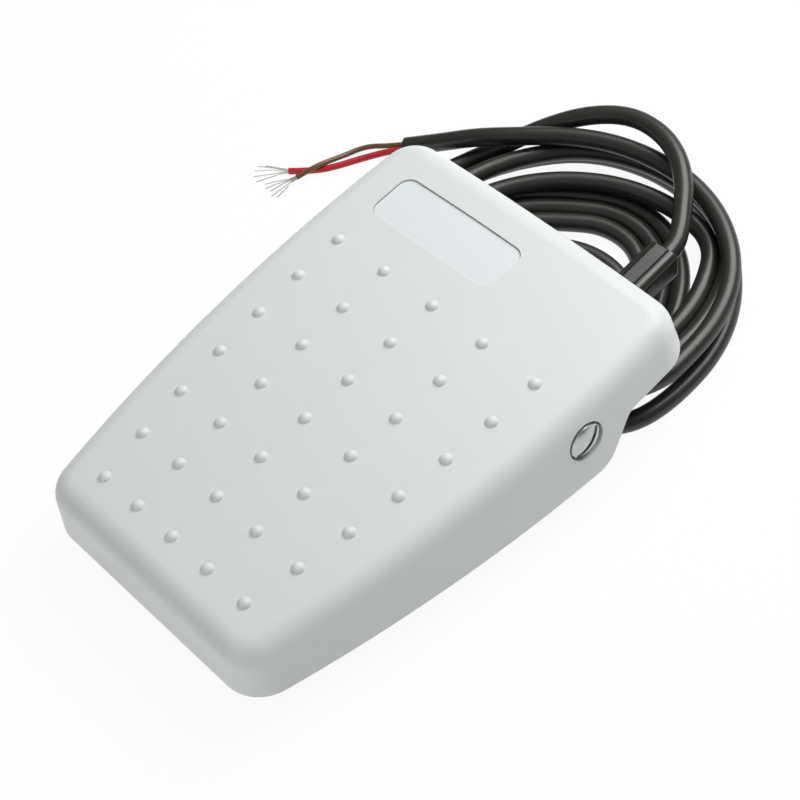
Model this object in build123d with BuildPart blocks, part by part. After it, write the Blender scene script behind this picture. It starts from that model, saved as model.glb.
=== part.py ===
from build123d import *
import math
import os

os.makedirs("parts", exist_ok=True)

# Sizes are in millimetres and degrees.
# X is to the right, Y to the rear, Z up, and the floor is at Z 0.

# Pedal form
pedal_length = 102.6
front_half_width = 28.6
middle_half_width = 36.4
rear_half_width = 36.4
plan_corner = 8.0
crown_radius = 332.0
rim_radius = 4.6
wall_draft = 8.0
pedal_wall = 2.2
block_depth = 26.0
nose_down = 4.8
pedal_gap = 6.0
front_skirt = 12.3
rear_skirt = 11.3
knee_y = 26.88
knee_radius = 6.0
lift_angle = 50.0
lift_radius = 4.0

# Raised pips
pip_rows = 7
pip_columns = 5
pip_pitch = 10.5
first_pip_setback = 10.17
pip_margin = 11.5
pip_diameter = 2.5
pip_height = 0.8

# Sunk label place
label_width = 31.9
label_length = 10.8
label_x = -10.7
label_setback = 15.63
label_corner = 2.6
label_sink = 0.7
label_thickness = 0.35
label_clearance = 0.12

# Pivot
hinge_y = 22.2
hinge_depth = 9.0
press_angle = 3.6
head_radius = 3.55
head_edge = 1.0
head_height = 2.1
head_play = 0.12
head_pocket_radius = 3.95
head_pocket_depth = 1.3
slot_width = 1.0
slot_depth = 1.1
slot_angles = {-1: -24.0, 1: 38.0}
shoulder_radius = 1.75
pivot_clearance = 0.05
bush_wall = 0.8
bush_flange_radius = 3.8
bush_flange = 0.6
bush_play = 0.2
boss_radius = 4.6
boss_depth = 2.5

# Base
foot_height = 1.5
foot_radius = 4.5
foot_sink = 0.7
front_foot_x = 21.0
front_foot_setback = 15.3
rear_foot = (24.0, 12.0)
base_inset = 5.2
base_wall = 1.8
base_floor = 2.2
base_height = 8.0
base_rear = 25.4
lug_thickness = 4.0
lug_front = 5.5
lug_rise = 2.3
lug_round = 2.0
stop_play = 0.2
stop_size = (4.0, 2.6)
rear_stop = (25.5, 22.9)
front_stop_x = 17.0
front_stop_setback = 10.3

# Return spring
spring_y = -32.0
spring_wire = 0.8
spring_radius = 3.8
spring_turns = 5.5
spring_length = 12.9
seat_radius = 5.4
spigot_radius = 3.0
spigot_height = 2.2

# Snap switch
case_front = -17.0
case_length = 19.8
case_width = 6.4
case_height = 9.6
cover_thickness = 1.2
case_round = 0.6
lever_pin_y = 1.5
lever_pin_rise = 1.5
lever_pin_radius = 0.5
lever_pin_clearance = 0.05
ear_radius = 1.2
lever_width = 3.4
lever_thickness = 0.4
lever_eye_radius = 1.05
lever_reach = 16.0
lever_angle = 5.55
plunger_y = -3.5
plunger_radius = 1.0
plunger_clearance = 0.05
plunger_rise = 1.65
plunger_inside = 3.2
plunger_travel_room = 1.2
presser_y = -12.0
presser_size = (6.0, 2.6)
presser_play = 0.3
presser_round = 1.0
switch_hole_spacing = 9.5
switch_hole_rise = 3.0
switch_screw_radius = 1.0
switch_screw_head = (1.9, 1.3)
switch_wall = 3.0
switch_wall_height = 6.5
terminal_width = 2.8
terminal_thickness = 0.5
terminal_length = 5.4
terminal_rise = 0.6
terminal_eye_radius = 0.45
terminal_margin = 1.8

# Cable and strain relief
sheath_diameter = 3.5
red_diameter = 1.4
brown_diameter = 1.1
core_offset = 0.75
saddle_place = (18.98, 24.82, 11.1)
relief_turn = 4.8
relief_length = 40.4
relief_width = 6.8
relief_height = 7.0
relief_corner = 1.8
relief_end_round = 0.5
neck_size = 5.2
neck_clearance = 0.05
saddle_thickness = 2.2
saddle_half_width = 5.0
saddle_rise = 2.6
relief_flange = 1.8
relief_groove = (0.8, 0.5)
relief_groove_x = (1.5, -1.5)
relief_groove_start = 4.0
clamp_start = -11.5
clamp_length = 5.0
clamp_half_width = 8.0
clamp_gap = 0.5
clamp_thickness = 2.0
clamp_screw_x = 5.4
clamp_screw_radius = 1.3
clamp_hole_radius = 1.5
clamp_screw_head = (2.3, 1.6)
clamp_screw_depth = 5.0
sheath_inside = 11.0

# Cord lying behind the base
coil_centre = (-1.0, 46.68)
coil_radius = 39.5
coil_front = 26.5
coil_corner = 12.0
coil_height = 6.8
coil_edge = 2.0
coil_eye = (7.0, 50.68)
coil_eye_size = (15.0, 10.5)
strand_radius = 0.1

# The sloping plane of the pedal's crest, with its origin at the middle of the pedal,
# set so that the tilted pedal reaches as far to the front as to the rear. The plan's
# sizes hold at the depth of the front skirt, and the walls lean in above it.
slope = math.radians(nose_down)
crest_height = (
    pedal_gap + front_skirt * math.cos(slope) + pedal_length / 2 * math.sin(slope)
)
wall_lean = math.tan(math.radians(wall_draft))
rear_edge = pedal_length / 2 - (front_skirt - rear_skirt) * wall_lean
front_reach = pedal_length / 2 * math.cos(slope) - front_skirt * math.sin(slope)
rear_reach = rear_edge * math.cos(slope) + rear_skirt * math.sin(slope)
pedal_middle_y = (front_reach - rear_reach) / 2
pedal_plane = Plane(
    origin=(0, pedal_middle_y, crest_height),
    x_dir=(1, 0, 0),
    z_dir=(0, -math.sin(slope), math.cos(slope)),
)
crown_plane = Plane(
    origin=pedal_plane.origin, x_dir=(1, 0, 0), z_dir=-pedal_plane.y_dir
)
hinge_point = pedal_plane.from_local_coords(Vector(0, hinge_y, -hinge_depth))
hinge_plane = Plane(origin=hinge_point, x_dir=(0, 1, 0), z_dir=(1, 0, 0))
hinge_axis = Axis(hinge_point, (1, 0, 0))

side_arc = Edge.make_three_point_arc(
    (front_half_width, -pedal_length / 2),
    (middle_half_width, 0),
    (rear_half_width, pedal_length / 2),
)


def half_width(y):
    """Half the pedal's width at a distance along its crest."""
    centre = side_arc.arc_center
    return centre.X + math.sqrt(side_arc.radius**2 - (y - centre.Y) ** 2)


def crown_drop(x):
    """How far the crowned top is below its crest."""
    return crown_radius - math.sqrt(crown_radius**2 - x**2)


def ceiling(x, y):
    """Height of the pedal's inner top face above the floor, at rest."""
    below_crest = crown_drop(x) + pedal_wall
    rise = (y - pedal_middle_y) * math.tan(slope)
    return crest_height + rise - below_crest / math.cos(slope)


def pedal_plan(inset):
    """Plan of the pedal, moved in by inset on every side."""
    with BuildSketch() as plan:
        with BuildLine():
            ThreePointArc(
                (front_half_width, -pedal_length / 2),
                (middle_half_width, 0),
                (rear_half_width, pedal_length / 2),
            )
            ThreePointArc(
                (-front_half_width, -pedal_length / 2),
                (-middle_half_width, 0),
                (-rear_half_width, pedal_length / 2),
            )
            Line(
                (-front_half_width, -pedal_length / 2),
                (front_half_width, -pedal_length / 2),
            )
            Line(
                (-rear_half_width, pedal_length / 2),
                (rear_half_width, pedal_length / 2),
            )
        make_face()
        fillet(plan.vertices(), plan_corner)
        if inset:
            offset(amount=-inset)
    return plan.sketch


def pedal_block(inset):
    """Crowned form with leaning walls and no hollow, every face moved in by inset."""
    with BuildPart() as block:
        with BuildSketch(pedal_plane.offset(-block_depth)):
            add(pedal_plan(inset - (block_depth - front_skirt) * wall_lean))
        extrude(amount=block_depth + rim_radius, taper=wall_draft)
        with BuildSketch(crown_plane):
            with Locations((0, -crown_radius)):
                Circle(crown_radius - inset)
        extrude(amount=pedal_length, both=True, mode=Mode.INTERSECT)
        top = block.faces().sort_by(Axis(hinge_point, pedal_plane.z_dir))[-1]
        fillet(top.edges(), rim_radius - inset)
    return block.part


def bend_radii(route):
    """Largest arc that each corner of a route has room for."""
    radii = []
    for before, here, after in zip(route, route[1:], route[2:]):
        run_in = Vector(*here) - Vector(*before)
        run_out = Vector(*after) - Vector(*here)
        half_turn = math.radians(run_in.get_angle(run_out)) / 2
        radii.append(0.45 * min(run_in.length, run_out.length) / math.tan(half_turn))
    return radii


def tube(route, diameter, name):
    """Round cord along straight runs joined by arcs."""
    radii = bend_radii(route)
    with BuildPart() as cord:
        with BuildLine() as middle:
            FilletPolyline(*route, radius=radii)
        with BuildSketch(
            Plane(origin=route[0], z_dir=Vector(*route[1]) - Vector(*route[0]))
        ):
            Circle(diameter / 2)
        sweep(path=middle.wires()[0])
    length = middle.wires()[0].length
    share = cord.part.volume / (length * math.pi * diameter**2 / 4)
    print(name, "length", round(length, 1), "volume share", round(share, 4))
    print(name, "arc radii", [round(radius, 1) for radius in radii])
    return cord


def save(piece, name):
    """Label a finished piece and write it."""
    piece.part.label = name
    export_step(piece.part, f"parts/{name}.step")


# Spring, presser and switch heights that the pedal and the base share
floor_top = foot_height + base_floor
spring_top = floor_top + spring_length
case_top = floor_top + case_height
lever_pin_z = case_top + lever_pin_rise
lever_slope = math.tan(math.radians(lever_angle))
lever_top_at_presser = (
    lever_pin_z + (lever_pin_y - presser_y) * lever_slope + lever_thickness / 2
)
presser_tip = lever_top_at_presser + presser_play

# Pivot stations along X, from the wall inwards
wall_x = half_width(hinge_y) - (front_skirt - hinge_depth) * wall_lean
pocket_x = wall_x - head_pocket_depth
boss_x = pocket_x - boss_depth
flange_x = boss_x - bush_flange
lug_x = flange_x - bush_play
seat_x = pocket_x + head_play
bush_radius = shoulder_radius + pivot_clearance + bush_wall

# Pedal
outer_form = pedal_block(0)
inner_form = pedal_block(pedal_wall)
trim_form = pedal_block(pedal_wall / 2)

with BuildPart() as skirt_cut:
    lift = math.tan(math.radians(lift_angle))
    rear_edge_at_centre = crest_height - rear_skirt / math.cos(slope)
    lift_y = (rear_edge_at_centre - pedal_gap + knee_y * lift) / (
        lift - math.tan(slope)
    )
    side_view = Plane(origin=(0, pedal_middle_y, 0), x_dir=(0, 1, 0), z_dir=(1, 0, 0))
    with BuildSketch(side_view):
        with BuildLine():
            FilletPolyline(
                (-pedal_length, pedal_gap),
                (knee_y, pedal_gap),
                (lift_y, rear_edge_at_centre + lift_y * math.tan(slope)),
                (pedal_length, rear_edge_at_centre + pedal_length * math.tan(slope)),
                radius=(knee_radius, lift_radius),
            )
            Polyline(
                (pedal_length, rear_edge_at_centre + pedal_length * math.tan(slope)),
                (pedal_length, -block_depth),
                (-pedal_length, -block_depth),
                (-pedal_length, pedal_gap),
            )
        make_face()
    extrude(amount=pedal_length, both=True)

with BuildPart() as inner_bosses:
    with BuildSketch(Plane.XY.offset(presser_tip)):
        with Locations((0, presser_y)):
            Rectangle(*presser_size)
    extrude(amount=block_depth)
    tip_edges = inner_bosses.faces().sort_by(Axis.Z)[0].edges().filter_by(Axis.X)
    fillet(tip_edges, presser_round)
    with BuildSketch(Plane.XY.offset(spring_top)):
        with Locations((0, spring_y)):
            Circle(seat_radius)
    extrude(amount=block_depth)
    with BuildSketch(Plane.XY.offset(spring_top - spigot_height)):
        with Locations((0, spring_y)):
            Circle(spigot_radius)
    extrude(amount=block_depth)
    for side in (-1, 1):
        with BuildSketch(hinge_plane.offset(side * boss_x)):
            Circle(boss_radius)
        extrude(amount=side * boss_depth)
    add(trim_form, mode=Mode.INTERSECT)

pip_sphere = ((pip_diameter / 2) ** 2 + pip_height**2) / (2 * pip_height)
pip_places = []
for row in range(pip_rows):
    row_y = first_pip_setback - pedal_length / 2 + row * pip_pitch
    reach = half_width(row_y) - pip_margin
    for column in range(pip_columns):
        pip_x = reach * (2 * column / (pip_columns - 1) - 1)
        pip_w = pip_height - pip_sphere - crown_drop(pip_x)
        pip_places.append(
            pedal_plane.from_local_coords(Vector(pip_x, row_y, pip_w))
        )

label_y = pedal_length / 2 - label_setback
with BuildPart() as label_cut:
    with BuildSketch(pedal_plane.offset(-rim_radius)):
        with Locations((label_x, label_y)):
            RectangleRounded(label_width, label_length, label_corner)
    extrude(amount=2 * rim_radius)
    add(pedal_block(label_sink), mode=Mode.SUBTRACT)

with BuildPart() as pedal_shell:
    add(outer_form)
    add(inner_form, mode=Mode.SUBTRACT)
    add(inner_bosses.part)
    add(skirt_cut.part, mode=Mode.SUBTRACT)
    with Locations(*pip_places):
        Sphere(pip_sphere)
    add(label_cut.part, mode=Mode.SUBTRACT)
    for side in (-1, 1):
        with BuildSketch(hinge_plane.offset(side * pocket_x)):
            Circle(head_pocket_radius)
        extrude(amount=side * block_depth, mode=Mode.SUBTRACT)
        with BuildSketch(hinge_plane.offset(side * flange_x)):
            Circle(bush_radius)
        extrude(amount=side * block_depth, mode=Mode.SUBTRACT)
        with BuildSketch(hinge_plane.offset(side * flange_x)):
            Circle(bush_flange_radius + pivot_clearance)
        extrude(amount=side * bush_flange, mode=Mode.SUBTRACT)
save(pedal_shell, "pedal_shell")

with BuildPart() as label_panel:
    with BuildSketch(pedal_plane.offset(-rim_radius)):
        with Locations((label_x, label_y)):
            RectangleRounded(
                label_width - 2 * label_clearance,
                label_length - 2 * label_clearance,
                label_corner - label_clearance,
            )
    extrude(amount=2 * rim_radius)
    add(pedal_block(label_sink - label_thickness), mode=Mode.INTERSECT)
    add(pedal_block(label_sink), mode=Mode.SUBTRACT)
save(label_panel, "label_panel")


def hinge_bush(side):
    """Flanged bush pressed into the pedal wall from inside."""
    with BuildPart() as bush:
        with BuildSketch(hinge_plane.offset(side * flange_x)):
            Circle(bush_flange_radius)
            Circle(bush_radius - bush_wall, mode=Mode.SUBTRACT)
        extrude(amount=side * bush_flange)
        with BuildSketch(hinge_plane.offset(side * boss_x)):
            Circle(bush_radius)
            Circle(bush_radius - bush_wall, mode=Mode.SUBTRACT)
        extrude(amount=side * boss_depth)
    return bush


def hinge_screw(side):
    """Slotted pan-head shoulder screw, its tip flush with the inside of the lug."""
    tip_x = lug_x - lug_thickness
    dome = head_height - head_edge
    dome_radius = (head_radius**2 + dome**2) / (2 * dome)
    half_angle = math.asin(head_radius / dome_radius) / 2
    dome_centre = seat_x + head_height - dome_radius
    profile_plane = Plane(
        origin=hinge_point, x_dir=(side, 0, 0), z_dir=(0, -side, 0)
    )
    with BuildPart() as screw:
        with BuildSketch(profile_plane):
            with BuildLine():
                Polyline(
                    (seat_x + head_height, 0),
                    (tip_x, 0),
                    (tip_x, shoulder_radius),
                    (seat_x, shoulder_radius),
                    (seat_x, head_radius),
                    (seat_x + head_edge, head_radius),
                )
                ThreePointArc(
                    (seat_x + head_edge, head_radius),
                    (
                        dome_centre + dome_radius * math.cos(half_angle),
                        dome_radius * math.sin(half_angle),
                    ),
                    (seat_x + head_height, 0),
                )
            make_face()
        revolve(axis=hinge_axis)
        with BuildSketch(hinge_plane.offset(side * (seat_x + head_height))):
            Rectangle(3 * head_radius, slot_width, rotation=slot_angles[side])
        extrude(amount=-side * slot_depth, mode=Mode.SUBTRACT)
    return screw


for side, hand in ((-1, "left"), (1, "right")):
    save(hinge_bush(side), f"hinge_bush_{hand}")
    save(hinge_screw(side), f"hinge_screw_{hand}")

# Strain relief frame: its origin is where the cable crosses the rear face of the saddle
turn = math.radians(relief_turn)
relief_direction = Vector(-math.sin(turn), math.cos(turn), 0)
relief_end = tuple(Vector(*saddle_place) + relief_direction * relief_length)
relief_plane = Plane(
    origin=saddle_place,
    x_dir=(-math.cos(turn), -math.sin(turn), 0),
    z_dir=relief_direction,
)
cable_height = saddle_place[2]
clamp_middle = clamp_start + clamp_length / 2
clamp_screw_places = [
    relief_plane.from_local_coords(Vector(x, 0, clamp_middle))
    for x in (-clamp_screw_x, clamp_screw_x)
]
front_foot = (front_foot_x, front_foot_setback - pedal_length / 2)
front_stop = (front_stop_x, front_stop_setback - pedal_length / 2)
foot_places = [
    (side * x, y) for x, y in (front_foot, rear_foot) for side in (-1, 1)
]
switch_hole_y = [
    case_front + case_length / 2 + side * switch_hole_spacing / 2 for side in (-1, 1)
]
front_stop_drop = (hinge_point.Y - front_stop[1]) * math.sin(
    math.radians(press_angle)
)

# Base
with BuildPart() as base_tray:
    with BuildSketch(Plane.XY.offset(foot_height)):
        add(pedal_plan(base_inset))
        with Locations((0, base_rear)):
            Rectangle(
                pedal_length,
                pedal_length,
                align=(Align.CENTER, Align.MAX),
                mode=Mode.INTERSECT,
            )
    extrude(amount=base_height)
    with BuildSketch(Plane.XY.offset(floor_top)):
        add(pedal_plan(base_inset + base_wall))
        with Locations((0, base_rear - base_wall)):
            Rectangle(
                pedal_length,
                pedal_length,
                align=(Align.CENTER, Align.MAX),
                mode=Mode.INTERSECT,
            )
    extrude(amount=base_height, mode=Mode.SUBTRACT)
    # Hinge lugs
    for side in (-1, 1):
        with BuildSketch(hinge_plane.offset(side * (lug_x - lug_thickness))):
            with Locations((-lug_front, lug_rise)):
                Rectangle(
                    lug_front + base_rear - hinge_point.Y,
                    lug_rise + hinge_point.Z - foot_height,
                    align=(Align.MIN, Align.MAX),
                )
            fillet(vertices().sort_by(Axis.Y)[-2:], lug_round)
            Circle(shoulder_radius, mode=Mode.SUBTRACT)
        extrude(amount=side * lug_thickness)
    # Stops of the pedal's swing
    for (x, y), drop in ((rear_stop, 0), (front_stop, front_stop_drop)):
        with BuildSketch(Plane.XY.offset(foot_height)):
            with Locations((-x, y), (x, y)):
                Rectangle(*stop_size)
        lowest = ceiling(x + stop_size[0] / 2, y - stop_size[1] / 2)
        extrude(amount=lowest - drop - stop_play - foot_height)
    # Spring spigot
    with BuildSketch(Plane.XY.offset(foot_height)):
        with Locations((0, spring_y)):
            Circle(spigot_radius)
    extrude(amount=base_floor + spigot_height)
    # Wall that the snap switch is screwed to
    with BuildSketch(Plane.XY.offset(foot_height)):
        with Locations((-case_width / 2, case_front)):
            Rectangle(switch_wall, case_length, align=(Align.MAX, Align.MIN))
    extrude(amount=base_floor + switch_wall_height)
    with BuildSketch(Plane.YZ.offset(-case_width / 2)):
        with Locations(*[(y, floor_top + switch_hole_rise) for y in switch_hole_y]):
            Circle(switch_screw_radius)
    extrude(amount=-switch_wall, mode=Mode.SUBTRACT)
    # Saddle for the neck of the strain relief, and the post under the cable clamp
    with BuildSketch(relief_plane.offset(-saddle_thickness)):
        with Locations((0, foot_height - cable_height)):
            Rectangle(
                2 * saddle_half_width,
                cable_height + saddle_rise - foot_height,
                align=(Align.CENTER, Align.MIN),
            )
    extrude(amount=saddle_thickness)
    with BuildSketch(relief_plane.offset(clamp_start)):
        with Locations((0, foot_height - cable_height)):
            Rectangle(
                2 * clamp_half_width,
                cable_height - clamp_gap - foot_height,
                align=(Align.CENTER, Align.MIN),
            )
    extrude(amount=clamp_length)
    with BuildSketch(relief_plane.offset(-saddle_thickness - relief_flange)):
        Circle(sheath_diameter / 2)
    extrude(amount=-sheath_inside, mode=Mode.SUBTRACT)
    with BuildSketch(relief_plane.offset(-2 * saddle_thickness)):
        with Locations((0, -neck_size / 2 - neck_clearance)):
            Rectangle(
                neck_size + 2 * neck_clearance,
                relief_height + neck_size,
                align=(Align.CENTER, Align.MIN),
            )
    extrude(amount=3 * saddle_thickness, mode=Mode.SUBTRACT)
    # Room for the strain relief on both sides of its neck
    for near, far in (
        (0, saddle_thickness),
        (-saddle_thickness, -saddle_thickness - relief_flange - 2 * neck_clearance),
    ):
        with BuildSketch(relief_plane.offset(near)):
            Rectangle(
                relief_width + 2 * neck_clearance, relief_height + 2 * neck_clearance
            )
        extrude(amount=far - near, mode=Mode.SUBTRACT)
    with BuildSketch(Plane.XY.offset(cable_height - clamp_gap)):
        with Locations(*[(place.X, place.Y) for place in clamp_screw_places]):
            Circle(clamp_screw_radius)
    extrude(amount=-clamp_screw_depth, mode=Mode.SUBTRACT)
    # Sockets of the feet
    with BuildSketch(Plane.XY.offset(foot_height)):
        with Locations(*foot_places):
            Circle(foot_radius)
    extrude(amount=foot_sink, mode=Mode.SUBTRACT)
save(base_tray, "base_tray")


def foot(place):
    """Round rubber foot set into the underside of the base."""
    with BuildPart() as pad:
        with BuildSketch(Plane.XY):
            with Locations(place):
                Circle(foot_radius)
        extrude(amount=foot_height + foot_sink)
        chamfer(pad.edges().sort_by(Axis.Z)[0], foot_sink / 2)
    return pad


for place, name in zip(
    foot_places,
    ("front_left_foot", "front_right_foot", "rear_left_foot", "rear_right_foot"),
):
    save(foot(place), name)

with BuildPart() as return_spring:
    with BuildLine() as wire_line:
        Helix(
            pitch=(spring_length - spring_wire) / spring_turns,
            height=spring_length - spring_wire,
            radius=spring_radius,
            center=(0, spring_y, floor_top + spring_wire / 2),
        )
    with BuildSketch(Plane(origin=wire_line.line @ 0, z_dir=wire_line.line % 0)):
        Circle(spring_wire / 2)
    sweep(path=wire_line.line, is_frenet=True)
save(return_spring, "return_spring")

# Snap switch
case_half = case_width / 2
cover_x = case_half - cover_thickness


def switch_half(near_x, far_x, ear_near_x, ear_far_x):
    """Side of the snap switch between two X stations, with the ear that holds the pin."""
    with BuildPart() as half:
        with BuildSketch(Plane.YZ.offset(near_x)):
            with Locations((case_front, floor_top)):
                RectangleRounded(
                    case_length,
                    case_height,
                    case_round,
                    align=(Align.MIN, Align.MIN),
                )
            with Locations(*[(y, floor_top + switch_hole_rise) for y in switch_hole_y]):
                Circle(switch_screw_radius, mode=Mode.SUBTRACT)
        extrude(amount=far_x - near_x)
        with BuildSketch(Plane.YZ.offset(ear_near_x)):
            with Locations((lever_pin_y, lever_pin_z)):
                Circle(ear_radius)
                Rectangle(
                    2 * ear_radius,
                    lever_pin_rise + case_round,
                    align=(Align.CENTER, Align.MAX),
                )
                Circle(lever_pin_radius, mode=Mode.SUBTRACT)
        extrude(amount=ear_far_x - ear_near_x)
    return half


case_side = switch_half(-case_half, cover_x, -case_half, -cover_x)
with BuildPart() as switch_case:
    add(case_side.part)
    with BuildSketch(Plane.XY.offset(case_top)):
        with Locations((0, plunger_y)):
            Circle(plunger_radius + plunger_clearance)
    extrude(amount=-plunger_inside - plunger_travel_room, mode=Mode.SUBTRACT)
save(switch_case, "switch_case")
save(switch_half(cover_x, case_half, cover_x, case_half), "switch_cover")

with BuildPart() as lever_pin:
    with BuildSketch(Plane.YZ.offset(-case_half)):
        with Locations((lever_pin_y, lever_pin_z)):
            Circle(lever_pin_radius)
    extrude(amount=case_width)
save(lever_pin, "lever_pin")

with BuildPart() as switch_lever:
    lever_plane = Plane(
        origin=(-lever_width / 2, lever_pin_y, lever_pin_z),
        x_dir=(0, -math.cos(math.radians(lever_angle)), math.sin(math.radians(lever_angle))),
        z_dir=(1, 0, 0),
    )
    with BuildSketch(lever_plane):
        Circle(lever_eye_radius)
        Rectangle(lever_reach, lever_thickness, align=(Align.MIN, Align.CENTER))
        Circle(lever_pin_radius + lever_pin_clearance, mode=Mode.SUBTRACT)
    extrude(amount=lever_width)
save(switch_lever, "switch_lever")

with BuildPart() as switch_plunger:
    with BuildSketch(Plane.XY.offset(case_top - plunger_inside)):
        with Locations((0, plunger_y)):
            Circle(plunger_radius)
    extrude(amount=plunger_inside + plunger_rise)
    fillet(switch_plunger.edges().sort_by(Axis.Z)[-1], plunger_radius / 2)
save(switch_plunger, "switch_plunger")

with BuildPart() as switch_screws:
    head_r, head_h = switch_screw_head
    with BuildSketch(Plane.YZ.offset(case_half)):
        with Locations(*[(y, floor_top + switch_hole_rise) for y in switch_hole_y]):
            Circle(head_r)
    extrude(amount=head_h)
    with BuildSketch(Plane.YZ.offset(case_half)):
        with Locations(*[(y, floor_top + switch_hole_rise) for y in switch_hole_y]):
            Circle(switch_screw_radius)
    extrude(amount=-case_width - switch_wall)
save(switch_screws, "switch_screws")

terminal_bottom = floor_top + terminal_rise
terminal_places = {
    "terminal_common": case_front + terminal_margin,
    "terminal_normally_closed": case_front + case_length / 2,
    "terminal_normally_open": case_front + case_length - terminal_margin,
}
eye_x = case_half + terminal_length - terminal_width / 2
for name, y in terminal_places.items():
    with BuildPart() as terminal:
        with BuildSketch(Plane.XY.offset(terminal_bottom)):
            with Locations((case_half, y)):
                Rectangle(
                    terminal_length - terminal_width / 2,
                    terminal_width,
                    align=(Align.MIN, Align.CENTER),
                )
            with Locations((eye_x, y)):
                Circle(terminal_width / 2)
                Circle(terminal_eye_radius, mode=Mode.SUBTRACT)
        extrude(amount=terminal_thickness)
    save(terminal, name)

# Strain relief, cable clamp and the cable inside the base
with BuildPart() as strain_relief:
    with BuildSketch(relief_plane.offset(neck_clearance)):
        RectangleRounded(relief_width, relief_height, relief_corner)
    extrude(amount=relief_length - neck_clearance)
    fillet(
        strain_relief.faces().sort_by(Axis(relief_plane.origin, relief_direction))[-1].edges(),
        relief_end_round,
    )
    with BuildSketch(relief_plane.offset(-saddle_thickness - neck_clearance)):
        Rectangle(neck_size, neck_size)
    extrude(amount=saddle_thickness + 2 * neck_clearance)
    with BuildSketch(relief_plane.offset(-saddle_thickness - neck_clearance)):
        RectangleRounded(relief_width, relief_height, relief_corner)
    extrude(amount=-relief_flange)
    groove_width, groove_depth = relief_groove
    with BuildSketch(relief_plane.offset(relief_groove_start)):
        with Locations(*[(x, relief_height / 2) for x in relief_groove_x]):
            Rectangle(groove_width, 2 * groove_depth)
    extrude(amount=relief_length, mode=Mode.SUBTRACT)
save(strain_relief, "strain_relief")

with BuildPart() as cable_clamp:
    with BuildSketch(relief_plane.offset(clamp_start)):
        with Locations((0, clamp_gap)):
            Rectangle(
                2 * clamp_half_width,
                clamp_thickness,
                align=(Align.CENTER, Align.MIN),
            )
        Circle(sheath_diameter / 2, mode=Mode.SUBTRACT)
    extrude(amount=clamp_length)
    with BuildSketch(Plane.XY.offset(cable_height)):
        with Locations(*[(place.X, place.Y) for place in clamp_screw_places]):
            Circle(clamp_hole_radius)
    extrude(amount=2 * clamp_thickness, mode=Mode.SUBTRACT)
save(cable_clamp, "cable_clamp")

with BuildPart() as clamp_screws:
    clamp_top = cable_height + clamp_gap + clamp_thickness
    head_r, head_h = clamp_screw_head
    with BuildSketch(Plane.XY.offset(clamp_top)):
        with Locations(*[(place.X, place.Y) for place in clamp_screw_places]):
            Circle(head_r)
    extrude(amount=head_h)
    fillet(clamp_screws.edges().group_by(Axis.Z)[-1], head_h / 2)
    with BuildSketch(Plane.XY.offset(clamp_top)):
        with Locations(*[(place.X, place.Y) for place in clamp_screw_places]):
            Circle(clamp_screw_radius)
    extrude(amount=-clamp_thickness - 2 * clamp_gap - clamp_screw_depth)
save(clamp_screws, "clamp_screws")

sheath_start = -saddle_thickness - neck_clearance - relief_flange
with BuildPart() as cable_inside:
    with BuildSketch(relief_plane.offset(sheath_start)):
        Circle(sheath_diameter / 2)
    extrude(amount=-sheath_inside)
save(cable_inside, "cable_inside")

terminal_top = terminal_bottom + terminal_thickness
for name, offset_x, diameter, terminal_name, reach in (
    ("red_core_inside", -core_offset, red_diameter, "terminal_common", 6.0),
    ("brown_core_inside", core_offset, brown_diameter, "terminal_normally_open", 3.0),
):
    start = relief_plane.from_local_coords(
        Vector(offset_x, 0, sheath_start - sheath_inside)
    )
    ahead = start - relief_direction * reach
    end_y = terminal_places[terminal_name]
    core_route = [
        tuple(start),
        tuple(ahead),
        (eye_x + 4, end_y + 1, case_top - 2),
        (eye_x, end_y, case_top - 4),
        (eye_x, end_y, terminal_top),
    ]
    save(tube(core_route, diameter, name), name)

# Cord from the strain relief over the coil and down to its outer turn
exit_route = [
    relief_end,
    (15.14, 70.56, 11.1),
    (12.2, 76.28, 12.1),
    (7.6, 82.08, 12.8),
    (0.8, 87.58, 12.8),
    (-8.6, 90.68, 11.8),
    (-18.4, 89.88, 9.6),
    (-27.0, 85.88, 6.4),
    (-34.0, 79.08, 3.2),
    (-38.0, 70.68, 1.9),
    (-40.6, 61.48, 1.9),
    (-41.6, 52.28, 1.9),
    (-40.6, 43.68, 2.0),
    (-38.2, 36.08, 2.2),
]
save(tube(exit_route, sheath_diameter, "cord_exit_run"), "cord_exit_run")

with BuildPart() as cord_coil:
    with BuildSketch() as coil_plan:
        with Locations(coil_centre):
            Circle(coil_radius)
        with Locations((coil_centre[0], coil_front)):
            Rectangle(
                3 * coil_radius,
                3 * coil_radius,
                align=(Align.CENTER, Align.MIN),
                mode=Mode.INTERSECT,
            )
        fillet(coil_plan.vertices(), coil_corner)
        with Locations(coil_eye):
            Ellipse(*coil_eye_size, mode=Mode.SUBTRACT)
    extrude(amount=coil_height)
    fillet(cord_coil.faces().filter_by(Axis.Z).edges(), coil_edge)
save(cord_coil, "cord_coil")

# Last stretch of the cord, from the top of the coil to its cut end
tail_route = [
    (36.4, 41.68, 5.6),
    (36.6, 49.28, 7.6),
    (35.0, 58.08, 8.8),
    (31.2, 67.28, 8.8),
    (25.0, 75.28, 8.8),
    (16.4, 81.48, 8.8),
    (6.4, 85.08, 8.8),
    (-4.0, 85.88, 8.8),
    (-14.0, 83.68, 8.9),
    (-23.4, 78.08, 9.0),
    (-31.2, 73.18, 8.6),
    (-37.7, 69.58, 6.6),
    (-44.9, 65.38, 3.4),
    (-51.4, 59.48, 1.85),
]
save(tube(tail_route, sheath_diameter, "cord_tail_run"), "cord_tail_run")

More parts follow.
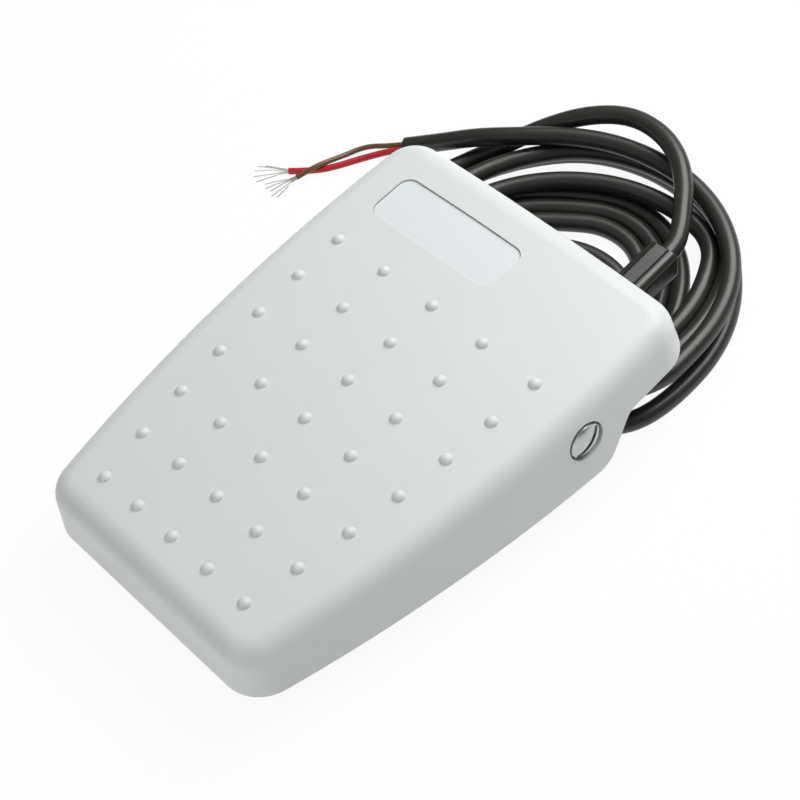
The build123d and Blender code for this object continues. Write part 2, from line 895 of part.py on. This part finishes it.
# Bare cores and their fanned strands
red_route = [
    (-50.9, 58.92, 1.84),
    (-53.52, 56.54, 1.22),
    (-56.8, 51.28, 0.75),
    (-59.3, 46.08, 0.75),
    (-61.8, 42.28, 0.75),
    (-66.0, 38.58, 0.75),
]
brown_route = [
    (-51.91, 60.03, 1.84),
    (-54.53, 57.65, 1.22),
    (-58.9, 54.28, 0.62),
    (-60.4, 49.48, 0.7),
    (-60.8, 45.48, 1.8),
    (-61.6, 41.88, 2.2),
    (-62.8, 38.08, 1.4),
]
save(tube(red_route, red_diameter, "red_core_end"), "red_core_end")
save(tube(brown_route, brown_diameter, "brown_core_end"), "brown_core_end")

red_tips = [(-71.8, 37.08), (-73.0, 35.48), (-72.6, 33.88), (-71.2, 32.48), (-69.4, 31.88)]
brown_tips = [(-68.0, 32.58), (-66.6, 31.68), (-65.0, 32.08), (-63.6, 31.18), (-62.2, 31.88)]
for name, route, tips, diameter in (
    ("red_core_strands", red_route, red_tips, red_diameter),
    ("brown_core_strands", brown_route, brown_tips, brown_diameter),
):
    root = Vector(*route[-1])
    along = (root - Vector(*route[-2])).normalized()
    with BuildPart() as strands:
        for number, (tip_x, tip_y) in enumerate(tips):
            spread = (2 * number / (len(tips) - 1) - 1) * diameter / 2
            start = root + Vector(-along.Y, along.X, 0) * spread
            tip = Vector(tip_x, tip_y, 2 * strand_radius)
            with BuildSketch(Plane(origin=start, z_dir=tip - start)):
                Circle(strand_radius)
            extrude(amount=(tip - start).length)
    save(strands, name)
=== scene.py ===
import math

import bpy
from bpy.props import FloatProperty, FloatVectorProperty, PointerProperty
from mathutils import Matrix, Vector


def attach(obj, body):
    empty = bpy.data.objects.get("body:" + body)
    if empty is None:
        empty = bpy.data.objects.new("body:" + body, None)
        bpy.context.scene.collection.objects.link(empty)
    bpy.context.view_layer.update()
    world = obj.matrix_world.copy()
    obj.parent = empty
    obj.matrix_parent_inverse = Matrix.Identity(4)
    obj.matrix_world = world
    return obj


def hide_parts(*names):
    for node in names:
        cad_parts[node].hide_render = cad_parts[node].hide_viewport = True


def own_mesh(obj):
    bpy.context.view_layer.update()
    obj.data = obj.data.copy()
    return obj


bl_info = {
    "name": "Foot switch dressing",
    "version": (1, 0, 0),
    "blender": (4, 5, 0),
    "location": "3D Viewport > Sidebar > Foot switch",
    "description": "Finishes, cable and stage of a small foot switch",
    "category": "Object",
}

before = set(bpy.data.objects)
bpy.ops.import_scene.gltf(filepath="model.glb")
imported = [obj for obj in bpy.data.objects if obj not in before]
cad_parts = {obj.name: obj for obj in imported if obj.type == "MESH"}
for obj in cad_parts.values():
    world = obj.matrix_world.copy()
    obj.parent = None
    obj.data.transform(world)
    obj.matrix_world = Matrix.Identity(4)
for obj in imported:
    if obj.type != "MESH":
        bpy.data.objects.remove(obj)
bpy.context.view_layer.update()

MM = 0.001

# Cable route in millimetres, from the strain relief to its cut end
EXIT_ROUTE = [
    (15.6, 65.08, 11.1),
    (15.3, 68.4, 11.1),
    (13.2, 72.2, 11.5),
    (10.5, 75.8, 12.1),
    (7.0, 80.2, 13.0),
    (1.4, 84.8, 13.6),
    (-6.0, 87.6, 13.6),
    (-14.4, 87.4, 13.0),
    (-22.6, 83.0, 11.0),
    (-29.6, 76.6, 7.4),
    (-34.6, 70.8, 3.6),
    (-38.8, 63.0, 1.95),
    (-41.0, 53.6, 1.95),
    (-40.4, 44.2, 1.95),
    (-37.0, 36.4, 1.95),
]
TAIL_ROUTE = [
    (33.4, 44.0, 8.0),
    (32.9, 53.0, 8.0),
    (31.7, 61.0, 8.0),
    (28.6, 69.0, 8.6),
    (23.2, 75.6, 9.4),
    (15.2, 81.0, 9.6),
    (5.6, 84.1, 9.6),
    (-4.4, 84.2, 9.6),
    (-14.0, 82.0, 9.6),
    (-22.6, 77.2, 9.6),
    (-30.6, 70.8, 9.2),
    (-37.8, 66.4, 7.6),
    (-44.7, 62.8, 4.4),
    (-51.3, 58.9, 1.95),
]
RED_ROUTE = [
    (-50.8, 58.4, 1.9),
    (-53.5, 56.1, 1.3),
    (-56.8, 51.28, 0.75),
    (-59.3, 46.08, 0.75),
    (-61.8, 42.28, 0.75),
    (-66.0, 38.58, 0.75),
]
BROWN_ROUTE = [
    (-51.8, 59.4, 1.9),
    (-54.6, 57.1, 1.3),
    (-58.9, 54.28, 0.62),
    (-60.4, 49.48, 0.7),
    (-60.8, 45.48, 1.8),
    (-61.6, 41.88, 2.2),
    (-62.8, 38.08, 1.4),
]
RED_TIPS = [(-71.4, 36.6), (-72.6, 35.4), (-72.0, 34.1), (-71.0, 32.9), (-69.4, 32.3)]
BROWN_TIPS = [(-67.4, 33.1), (-66.4, 32.2), (-65.0, 32.4), (-63.8, 31.7), (-62.6, 32.3)]

# Loose turns between the two routes. Each gives its distance in millimetres from the
# middle of the coil at every 30 degrees from the right, over the rear, to the left, its
# height there, and then how near the front it passes and its height there.
COIL_MIDDLE = (-1.0, 46.68)
FLOOR_LAYER = 1.9
UPPER_LAYER = 5.7
DISTANCE_STEP = 30
TURNS = [
    ((35.4, 36.9, 39.2, 41.2, 41.0, 37.6, 36.2), FLOOR_LAYER, (31.4, FLOOR_LAYER)),
    ((26.6, 26.4, 29.2, 31.8, 28.8, 29.2, 31.4), FLOOR_LAYER, (35.2, FLOOR_LAYER)),
    ((22.8, 22.6, 25.4, 28.0, 25.0, 25.2, 27.6), FLOOR_LAYER, (28.4, 6.0)),
    ((19.0, 18.8, 21.6, 24.2, 21.2, 21.2, 23.8), FLOOR_LAYER, (32.2, 6.0)),
    ((15.2, 15.0, 17.2, 15.6, 14.4, 16.4, 18.6), FLOOR_LAYER, (35.8, 9.9)),
    ((26.3, 29.8, 36.0, 32.2, 29.3, 27.6, 27.4), UPPER_LAYER, (31.9, 10.2)),
    ((30.1, 34.0, 39.4, 39.6, 38.0, 34.2, 32.0), UPPER_LAYER, (28.0, 10.0)),
]

# The first turn starts on the left: its distance there, where it joins the front, and how
# near the front it passes and its height there
FIRST_LEFT = 38.0
FIRST_ANGLE = 220
FIRST_FRONT = (27.6, FLOOR_LAYER)

# Angles of the points of a turn, in degrees from the right
FRONT_ANGLES = (202, 222, 242, 262, 282, 302, 322, 342)
REAR_ANGLES = range(0, 181, 20)

# The front of a turn is an oval, and squarer the wider it is: by 1 in its power at this
# distance in millimetres. Its height changes close to its sides.
OVAL_POWER = 2
SQUARE_REACH = 38.0
SIDE_POWER = 8

# Light of the room: place by height, from 0 at the horizon to 1 overhead, and its colour
HORIZON = (0.1, (0.12, 0.12, 0.12, 1))
OVERHEAD = (0.75, (1, 1, 1, 1))
WHITE = (1, 1, 1, 1)

# Floor: its side in metres, its colour under the light, and the share of plain white in it
# as the camera and mirrors see it
FLOOR_SIDE = 4
PAPER = (0.9, 0.9, 0.9, 1)
PAPER_WHITE = 0.93

# Lamps, in metres: the point that they aim at, their places from it and their widths
LAMP_AIM = Vector((0.0, 0.02, 0.01))
KEY_PLACE = Vector((0.0, 0.3, 0.37))
KEY_WIDTH = 0.42
FILL_PLACE = Vector((0.12, -0.6, 0.07))
FILL_WIDTH = 0.5


class CableSizes(bpy.types.PropertyGroup):
    """Sizes of the cable and its cores."""

    sheath: FloatProperty(
        name="Sheath", description="Diameter of the sheath",
        default=3.8 * MM, unit="LENGTH",
    )
    length: FloatProperty(
        name="Length", description="Length from the strain relief to the cut end",
        default=1.41, unit="LENGTH",
    )
    red_core: FloatProperty(
        name="Red core", description="Diameter of the red core",
        default=1.4 * MM, unit="LENGTH",
    )
    brown_core: FloatProperty(
        name="Brown core", description="Diameter of the brown core",
        default=1.1 * MM, unit="LENGTH",
    )
    strand: FloatProperty(
        name="Strand", description="Diameter of one tinned strand",
        default=0.22 * MM, unit="LENGTH",
    )


class Colours(bpy.types.PropertyGroup):
    """Colours of the finishes."""

    pedal: FloatVectorProperty(
        name="Pedal", description="Moulded pedal",
        subtype="COLOR", default=(0.635, 0.665, 0.655), min=0, max=1,
    )
    label: FloatVectorProperty(
        name="Label plate", description="Plate in the sunk place",
        subtype="COLOR", default=(0.675, 0.715, 0.72), min=0, max=1,
    )
    base: FloatVectorProperty(
        name="Base", description="Moulded base under the pedal",
        subtype="COLOR", default=(0.16, 0.165, 0.17), min=0, max=1,
    )
    sheath: FloatVectorProperty(
        name="Sheath", description="Cable sheath and strain relief",
        subtype="COLOR", default=(0.02, 0.0205, 0.0165), min=0, max=1,
    )
    red_core: FloatVectorProperty(
        name="Red core", description="Insulation of the red core",
        subtype="COLOR", default=(0.42, 0.012, 0.02), min=0, max=1,
    )
    brown_core: FloatVectorProperty(
        name="Brown core", description="Insulation of the brown core",
        subtype="COLOR", default=(0.12, 0.055, 0.018), min=0, max=1,
    )
    steel: FloatVectorProperty(
        name="Steel", description="Plated steel of screws",
        subtype="COLOR", default=(0.5, 0.53, 0.53), min=0, max=1,
    )


class StageSettings(bpy.types.PropertyGroup):
    """Floor, light and camera."""

    key: FloatProperty(
        name="Key light", description="Power of the large soft light high up behind",
        default=2.75, unit="POWER",
    )
    fill: FloatProperty(
        name="Fill light", description="Power of the low soft light in front",
        default=1.5, unit="POWER",
    )
    room: FloatProperty(
        name="Room light", description="Strength of the even light from all around",
        default=0.36,
    )
    view_turn: FloatProperty(
        name="View turn", description="Camera azimuth, counted from a view towards the rear",
        default=math.radians(55.746), subtype="ANGLE",
    )
    view_height: FloatProperty(
        name="View height", description="Camera elevation above the floor",
        default=math.radians(51.595), subtype="ANGLE",
    )
    view_roll: FloatProperty(
        name="View roll", description="Camera roll about its own line of sight",
        default=math.radians(-11.132), subtype="ANGLE",
    )
    view_place: FloatVectorProperty(
        name="View place", description="Camera location",
        subtype="TRANSLATION", default=(193.357 * MM, -121.61 * MM, 302.099 * MM),
    )
    lens: FloatProperty(
        name="Lens", description="Focal length in millimetres on a 36 mm sensor",
        default=91.51,
    )


class Socket:
    """Output of a shader node. Sums, differences and products of it add Math nodes."""

    def __init__(self, finish, output):
        self.finish = finish
        self.output = output

    def _math(self, operation, first, second):
        return self.finish.node("Math", {"operation": operation}, {0: first, 1: second})

    def __add__(self, other):
        return self._math("ADD", self, other)

    __radd__ = __add__

    def __sub__(self, other):
        return self._math("SUBTRACT", self, other)

    def __rsub__(self, other):
        return self._math("SUBTRACT", other, self)

    def __mul__(self, other):
        return self._math("MULTIPLY", self, other)

    __rmul__ = __mul__


class Finish:
    """Nodes of one finish, or of the world's light where owners is bpy.data.worlds."""

    def __init__(self, name, owners=None):
        if owners is None:
            owners = bpy.data.materials
        self.owner = owners.new(name)
        self.owner.use_nodes = True
        self.tree = self.owner.node_tree
        self.tree.nodes.clear()

    def node(self, kind, settings=None, inputs=None, output=0):
        """Add a node: its settings first, then the values or links of its sockets."""
        made = self.tree.nodes.new("ShaderNode" + kind)
        for name, value in (settings or {}).items():
            if name == "stops":
                ramp = made.color_ramp.elements
                while len(ramp) < len(value):
                    ramp.new(1.0)
                for stop, (place, colour) in zip(ramp, value):
                    stop.position = place
                    stop.color = colour
            else:
                setattr(made, name, value)
        for name, value in (inputs or {}).items():
            if isinstance(value, Socket):
                self.tree.links.new(value.output, made.inputs[name])
            else:
                made.inputs[name].default_value = value
        return Socket(self, made.outputs[output]) if made.outputs else None

    def place(self):
        """Position on the piece, in metres."""
        return self.node("TexCoord", output="Object")

    def noise(self, size, detail=3.0, place=None):
        """Cloudy value whose features are about as large as size, in metres."""
        return self.node(
            "TexNoise",
            {"noise_dimensions": "3D"},
            {"Vector": place or self.place(), "Scale": 1 / size, "Detail": detail},
        )

    def blend(self, factor, first, second):
        """Colour between two colours."""
        return self.node(
            "Mix",
            {"data_type": "RGBA"},
            {"Factor": factor, 6: first, 7: second},
            output=2,
        )

    def bump(self, height, depth, normal=None):
        """Normal of a surface raised by depth, in metres, where height is 1."""
        inputs = {"Height": height, "Distance": depth, "Strength": 1.0}
        if normal:
            inputs["Normal"] = normal
        return self.node("Bump", {}, inputs)

    def surface(self, **sockets):
        """Finish with a Principled shader, and give back the material."""
        inputs = {name.replace("_", " "): value for name, value in sockets.items()}
        shader = self.node("BsdfPrincipled", {}, inputs)
        self.node("OutputMaterial", {}, {"Surface": shader})
        return self.owner


def rgba(colour, share=1.0):
    """Colour with full alpha, made darker or paler by share."""
    return tuple(min(1.0, part * share) for part in colour) + (1.0,)


def pedal_plastic(colour):
    """Satin moulded plastic with a fine spark-eroded grain."""
    finish = Finish("pedal_plastic")
    place = finish.place()
    cloud = finish.noise(18 * MM, 2.0, place)
    grain = finish.noise(0.45 * MM, 4.0, place)
    swell = finish.noise(9 * MM, 1.0, place)
    paint = finish.blend(cloud, rgba(colour, 0.985), rgba(colour, 1.015))
    normal = finish.bump(grain, 0.014 * MM, finish.bump(swell, 0.02 * MM))
    return finish.surface(
        Base_Color=paint,
        Roughness=0.4 + 0.1 * grain,
        Specular_IOR_Level=0.42,
        Normal=normal,
    )


def label_plastic(colour):
    """Smooth plate, a little brighter and colder than the pedal."""
    finish = Finish("label_plate")
    place = finish.place()
    cloud = finish.noise(12 * MM, 2.0, place)
    grain = finish.noise(0.3 * MM, 2.0, place)
    return finish.surface(
        Base_Color=finish.blend(cloud, rgba(colour, 0.98), rgba(colour, 1.02)),
        Roughness=0.26 + 0.06 * cloud,
        Specular_IOR_Level=0.5,
        Normal=finish.bump(grain, 0.003 * MM),
    )


def dull_plastic(name, colour, roughness, grain_size, grain_depth):
    """Moulded plastic or rubber with an even grain."""
    finish = Finish(name)
    place = finish.place()
    grain = finish.noise(grain_size, 3.0, place)
    cloud = finish.noise(8 * MM, 2.0, place)
    return finish.surface(
        Base_Color=finish.blend(cloud, rgba(colour, 0.9), rgba(colour, 1.1)),
        Roughness=roughness + 0.1 * (grain - 0.5),
        Normal=finish.bump(grain, grain_depth),
    )


def sheath_plastic(name, colour, roughness):
    """Black cable plastic: slightly uneven gloss and a skin of faint long waves."""
    finish = Finish(name)
    place = finish.place()
    cloud = finish.noise(5 * MM, 3.0, place)
    grain = finish.noise(0.5 * MM, 3.0, place)
    normal = finish.bump(grain, 0.006 * MM, finish.bump(cloud, 0.05 * MM))
    return finish.surface(
        Base_Color=finish.blend(cloud, rgba(colour, 0.8), rgba(colour, 1.25)),
        Roughness=roughness + 0.14 * (cloud - 0.5),
        Specular_IOR_Level=0.5,
        Normal=normal,
    )


def core_plastic(name, colour):
    """Glossy insulation of a core, with a few paler streaks."""
    finish = Finish(name)
    place = finish.place()
    cloud = finish.noise(2.5 * MM, 3.0, place)
    return finish.surface(
        Base_Color=finish.blend(cloud, rgba(colour, 0.75), rgba(colour, 1.3)),
        Roughness=0.3 + 0.1 * cloud,
        Normal=finish.bump(cloud, 0.02 * MM),
    )


def turned_steel(name, colour, roughness):
    """Bright metal with a slightly cloudy gloss and fine scratches."""
    finish = Finish(name)
    place = finish.place()
    cloud = finish.noise(1.5 * MM, 3.0, place)
    scratch = finish.noise(0.12 * MM, 2.0, place)
    return finish.surface(
        Base_Color=finish.blend(cloud, rgba(colour, 0.85), rgba(colour, 1.08)),
        Metallic=1.0,
        Roughness=roughness + 0.16 * (cloud - 0.5) + 0.06 * scratch,
        Normal=finish.bump(scratch, 0.004 * MM),
    )


def dress(node, material):
    """Give a carried-over piece its finish."""
    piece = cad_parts[node]
    piece.data.materials.clear()
    piece.data.materials.append(material)


def to_metres(points):
    """Points given in millimetres, as vectors in metres."""
    return [Vector(point) * MM for point in points]


def round_line(name, routes, diameter, material):
    """Curve of round section, one smooth spline for each route."""
    curve = bpy.data.curves.new(name, "CURVE")
    curve.dimensions = "3D"
    curve.bevel_depth = diameter / 2
    curve.bevel_resolution = 6
    curve.resolution_u = 8
    curve.use_fill_caps = True
    for route in routes:
        spline = curve.splines.new("NURBS")
        spline.points.add(len(route) - 1)
        for point, place in zip(spline.points, route):
            point.co = (*place, 1.0)
        spline.order_u = 3
        spline.use_endpoint_u = True
    curve.materials.append(material)
    piece = bpy.data.objects.new(name, curve)
    bpy.context.scene.collection.objects.link(piece)
    return piece


def polar_point(distance, angle, height):
    """Point at a distance from the middle of the coil."""
    middle_x, middle_y = COIL_MIDDLE
    turn = math.radians(angle)
    return (
        middle_x + distance * math.cos(turn),
        middle_y + distance * math.sin(turn),
        height,
    )


def rear_point(turn, angle):
    """Point of a turn on its way over the rear, from the right to the left."""
    distances, height, _ = turn
    step = angle / DISTANCE_STEP
    before = min(int(step), len(distances) - 2)
    share = step - before
    distance = distances[before] * (1 - share) + distances[before + 1] * share
    return polar_point(distance, angle, height)


def front_point(left, front, right, heights, angle):
    """Point on the squarer front of a turn, which the pedal hides."""
    middle_x, middle_y = COIL_MIDDLE
    front_y, front_height = front
    turn = math.radians(angle)
    side = left if angle < 270 else right
    side_height = heights[0] if angle < 270 else heights[1]
    power = OVAL_POWER / (OVAL_POWER + side / SQUARE_REACH)
    across = math.copysign(abs(math.cos(turn)) ** power, math.cos(turn))
    down = abs(math.sin(turn)) ** power
    near_side = math.cos(turn) ** SIDE_POWER
    return (
        middle_x + side * across,
        middle_y - (middle_y - front_y) * down,
        front_height * (1 - near_side) + side_height * near_side,
    )


def coil_points():
    """Turns of the coil, from the end of the first route to the start of the last."""
    points = []
    left, left_height = FIRST_LEFT, EXIT_ROUTE[-1][2]
    front = FIRST_FRONT
    angles = [angle for angle in FRONT_ANGLES if angle >= FIRST_ANGLE]
    for turn in TURNS:
        distances, height, next_front = turn
        for angle in angles:
            points.append(
                front_point(left, front, distances[0], (left_height, height), angle)
            )
        for angle in REAR_ANGLES:
            points.append(rear_point(turn, angle))
        left, left_height = distances[-1], height
        front = next_front
        angles = FRONT_ANGLES
    tail_x = TAIL_ROUTE[0][0] - COIL_MIDDLE[0]
    for angle in FRONT_ANGLES[:-1]:
        points.append(
            front_point(left, front, tail_x, (left_height, TAIL_ROUTE[0][2]), angle)
        )
    return points


class FOOTSWITCH_OT_dress_pedal(bpy.types.Operator):
    """Finish the pedal, its label plate and its bushes"""

    bl_idname = "footswitch.dress_pedal"
    bl_label = "Dress pedal"

    def execute(self, context):
        colours = context.scene.footswitch_colours
        dress("pedal_shell", pedal_plastic(colours.pedal))
        dress("label_panel", label_plastic(colours.label))
        bush = dull_plastic("bush_plastic", (0.6, 0.56, 0.48), 0.4, 0.4 * MM, 0.004 * MM)
        for hand in ("left", "right"):
            dress(f"hinge_bush_{hand}", bush)
        return {"FINISHED"}


class FOOTSWITCH_OT_dress_metal(bpy.types.Operator):
    """Finish the screws, springs and terminals"""

    bl_idname = "footswitch.dress_metal"
    bl_label = "Dress metal"

    def execute(self, context):
        colours = context.scene.footswitch_colours
        plated = turned_steel("plated_steel", colours.steel, 0.24)
        for node in ("hinge_screw_left", "hinge_screw_right", "clamp_screws",
                     "switch_screws", "lever_pin"):
            dress(node, plated)
        spring = turned_steel("spring_steel", (0.5, 0.5, 0.51), 0.3)
        for node in ("return_spring", "switch_lever"):
            dress(node, spring)
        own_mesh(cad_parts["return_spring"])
        tinned = turned_steel("terminal_metal", (0.75, 0.69, 0.55), 0.35)
        for kind in ("common", "normally_open", "normally_closed"):
            dress(f"terminal_{kind}", tinned)
        return {"FINISHED"}


class FOOTSWITCH_OT_dress_base(bpy.types.Operator):
    """Finish the base, its feet, the snap switch and the strain relief"""

    bl_idname = "footswitch.dress_base"
    bl_label = "Dress base"

    def execute(self, context):
        colours = context.scene.footswitch_colours
        base = dull_plastic("base_plastic", colours.base, 0.5, 0.5 * MM, 0.015 * MM)
        for node in ("base_tray", "cable_clamp"):
            dress(node, base)
        rubber = dull_plastic("foot_rubber", (0.02, 0.02, 0.02), 0.75, 0.7 * MM, 0.03 * MM)
        for end in ("front", "rear"):
            for hand in ("left", "right"):
                dress(f"{end}_{hand}_foot", rubber)
        black = dull_plastic("switch_plastic", (0.02, 0.02, 0.022), 0.4, 0.4 * MM, 0.006 * MM)
        for node in ("switch_case", "switch_cover"):
            dress(node, black)
        red = dull_plastic("plunger_plastic", (0.4, 0.03, 0.02), 0.35, 0.3 * MM, 0.002 * MM)
        dress("switch_plunger", red)
        dress("strain_relief", sheath_plastic("relief_plastic", colours.sheath, 0.25))
        return {"FINISHED"}


class FOOTSWITCH_OT_add_cable(bpy.types.Operator):
    """Lay the cable from the strain relief through its loose coil to the cut end"""

    bl_idname = "footswitch.add_cable"
    bl_label = "Add cable"

    def execute(self, context):
        sizes = context.scene.footswitch_cable
        colours = context.scene.footswitch_colours
        sheath = sheath_plastic("cable_sheath", colours.sheath, 0.36)
        route = to_metres(EXIT_ROUTE + coil_points() + TAIL_ROUTE)
        cable = round_line("cable", [route], sizes.sheath, sheath)
        dress("cable_inside", sheath)
        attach(cable, "base")
        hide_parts("cord_exit_run", "cord_coil", "cord_tail_run")
        return {"FINISHED"}


class FOOTSWITCH_OT_add_cores(bpy.types.Operator):
    """Add the two bare cores and their fanned strands"""

    bl_idname = "footswitch.add_cores"
    bl_label = "Add cores"

    def execute(self, context):
        sizes = context.scene.footswitch_cable
        colours = context.scene.footswitch_colours
        tinned = turned_steel("tinned_copper", (0.8, 0.78, 0.75), 0.28)
        pieces = []
        for hand, route, tips, diameter, colour in (
            ("red", RED_ROUTE, RED_TIPS, sizes.red_core, colours.red_core),
            ("brown", BROWN_ROUTE, BROWN_TIPS, sizes.brown_core, colours.brown_core),
        ):
            insulation = core_plastic(f"{hand}_insulation", colour)
            core = round_line(f"{hand}_core", [to_metres(route)], diameter, insulation)
            dress(f"{hand}_core_inside", insulation)
            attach(core, "base")
            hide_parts(f"{hand}_core_end")
            strands = self.add_strands(hand, route, tips, diameter, sizes.strand, tinned)
            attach(strands, "base")
            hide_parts(f"{hand}_core_strands")
            pieces += [core, strands]
        return {"FINISHED"}

    def add_strands(self, hand, route, tips, diameter, strand, material):
        """Strands that leave the end of a core side by side and spread out to their tips."""
        end = Vector(route[-1]) * MM
        along = (end - Vector(route[-2]) * MM).normalized()
        across = Vector((-along.y, along.x, 0))
        straight = 6 * strand
        lines = []
        for number, (tip_x, tip_y) in enumerate(tips):
            spread = (2 * number / (len(tips) - 1) - 1) * (diameter - strand) / 2
            start = end + across * spread
            tip = Vector((tip_x * MM, tip_y * MM, strand))
            lift = strand * (number % 3)
            middle = (start + tip) / 2 + Vector((0, 0, lift))
            lines.append([start - along * strand, start + along * straight, middle, tip])
        return round_line(f"{hand}_strands", lines, strand, material)


class FOOTSWITCH_OT_add_stage(bpy.types.Operator):
    """Add the floor, the soft lights and the camera"""

    bl_idname = "footswitch.add_stage"
    bl_label = "Add stage"

    def execute(self, context):
        settings = context.scene.footswitch_stage
        self.add_floor()
        self.add_world(context, settings.room)
        self.add_lamp(context, "key_light", KEY_PLACE, KEY_WIDTH, settings.key)
        self.add_lamp(context, "fill_light", FILL_PLACE, FILL_WIDTH, settings.fill)
        self.add_camera(context, settings)
        context.scene.view_settings.view_transform = "Standard"
        return {"FINISHED"}

    def add_floor(self):
        """Pale floor that shows white to the camera and keeps the shadow."""
        bpy.ops.object.select_all(action="DESELECT")
        bpy.ops.mesh.primitive_plane_add(size=FLOOR_SIDE, location=(0, 0, 0))
        floor = bpy.context.object
        floor.name = "floor"
        finish = Finish("floor_paper")
        paper = finish.node("BsdfDiffuse", {}, {"Color": PAPER})
        glow = finish.node("Emission", {}, {"Color": WHITE, "Strength": 1.0})
        seen = finish.node("LightPath", output="Is Camera Ray")
        mirrored = finish.node("LightPath", output="Is Glossy Ray")
        share = PAPER_WHITE * seen + PAPER_WHITE * mirrored
        mix = finish.node("MixShader", {}, {0: share, 1: paper, 2: glow})
        finish.node("OutputMaterial", {}, {"Surface": mix})
        floor.data.materials.append(finish.owner)

    def add_world(self, context, strength):
        """Light from above that falls off to a dark band round the horizon. The camera sees white."""
        room = Finish("room", bpy.data.worlds)
        direction = room.node("TexCoord", output="Generated")
        height = room.node("SeparateXYZ", {}, {0: direction}, output="Z")
        shade = room.node("ValToRGB", {"stops": (HORIZON, OVERHEAD)}, {0: height})
        light = room.node("Background", {}, {"Color": shade, "Strength": strength})
        white = room.node("Background", {}, {"Color": WHITE, "Strength": 1.0})
        seen = room.node("LightPath", output="Is Camera Ray")
        mix = room.node("MixShader", {}, {0: seen, 1: light, 2: white})
        room.node("OutputWorld", {}, {"Surface": mix})
        context.scene.world = room.owner

    def add_lamp(self, context, name, place, width, power):
        """Round soft lamp that looks at the object."""
        lamp = bpy.data.lights.new(name, "AREA")
        lamp.shape = "DISK"
        lamp.size = width
        lamp.energy = power
        piece = bpy.data.objects.new(name, lamp)
        piece.location = LAMP_AIM + place
        piece.rotation_euler = (-place).to_track_quat("-Z", "Y").to_euler()
        context.scene.collection.objects.link(piece)

    def add_camera(self, context, settings):
        """Camera that sees the object as the photograph does."""
        camera = bpy.data.cameras.new("camera")
        camera.lens = settings.lens
        camera.sensor_width = 36
        camera.clip_start = 0.01
        piece = bpy.data.objects.new("camera", camera)
        turn = (
            Matrix.Rotation(settings.view_turn, 3, "Z")
            @ Matrix.Rotation(math.pi / 2 - settings.view_height, 3, "X")
            @ Matrix.Rotation(settings.view_roll, 3, "Z")
        )
        piece.rotation_euler = turn.to_euler()
        piece.location = settings.view_place
        context.scene.collection.objects.link(piece)
        context.scene.camera = piece


class FOOTSWITCH_PT_sidebar(bpy.types.Panel):
    """Steps that dress the foot switch"""

    bl_idname = "FOOTSWITCH_PT_sidebar"
    bl_label = "Foot switch"
    bl_space_type = "VIEW_3D"
    bl_region_type = "UI"
    bl_category = "Foot switch"

    def draw(self, context):
        for operator in OPERATORS:
            self.layout.operator(operator.bl_idname)


OPERATORS = (
    FOOTSWITCH_OT_dress_pedal,
    FOOTSWITCH_OT_dress_metal,
    FOOTSWITCH_OT_dress_base,
    FOOTSWITCH_OT_add_cable,
    FOOTSWITCH_OT_add_cores,
    FOOTSWITCH_OT_add_stage,
)
GROUPS = {
    "footswitch_cable": CableSizes,
    "footswitch_colours": Colours,
    "footswitch_stage": StageSettings,
}


def register():
    for group in GROUPS.values():
        bpy.utils.register_class(group)
    for name, group in GROUPS.items():
        setattr(bpy.types.Scene, name, PointerProperty(type=group))
    for operator in OPERATORS:
        bpy.utils.register_class(operator)
    bpy.utils.register_class(FOOTSWITCH_PT_sidebar)


def unregister():
    bpy.utils.unregister_class(FOOTSWITCH_PT_sidebar)
    for operator in reversed(OPERATORS):
        bpy.utils.unregister_class(operator)
    for name, group in GROUPS.items():
        delattr(bpy.types.Scene, name)
        bpy.utils.unregister_class(group)


def main():
    register()
    bpy.ops.footswitch.dress_pedal()
    bpy.ops.footswitch.dress_metal()
    bpy.ops.footswitch.dress_base()
    bpy.ops.footswitch.add_cable()
    bpy.ops.footswitch.add_cores()
    bpy.ops.footswitch.add_stage()


if __name__ == "__main__":
    main()
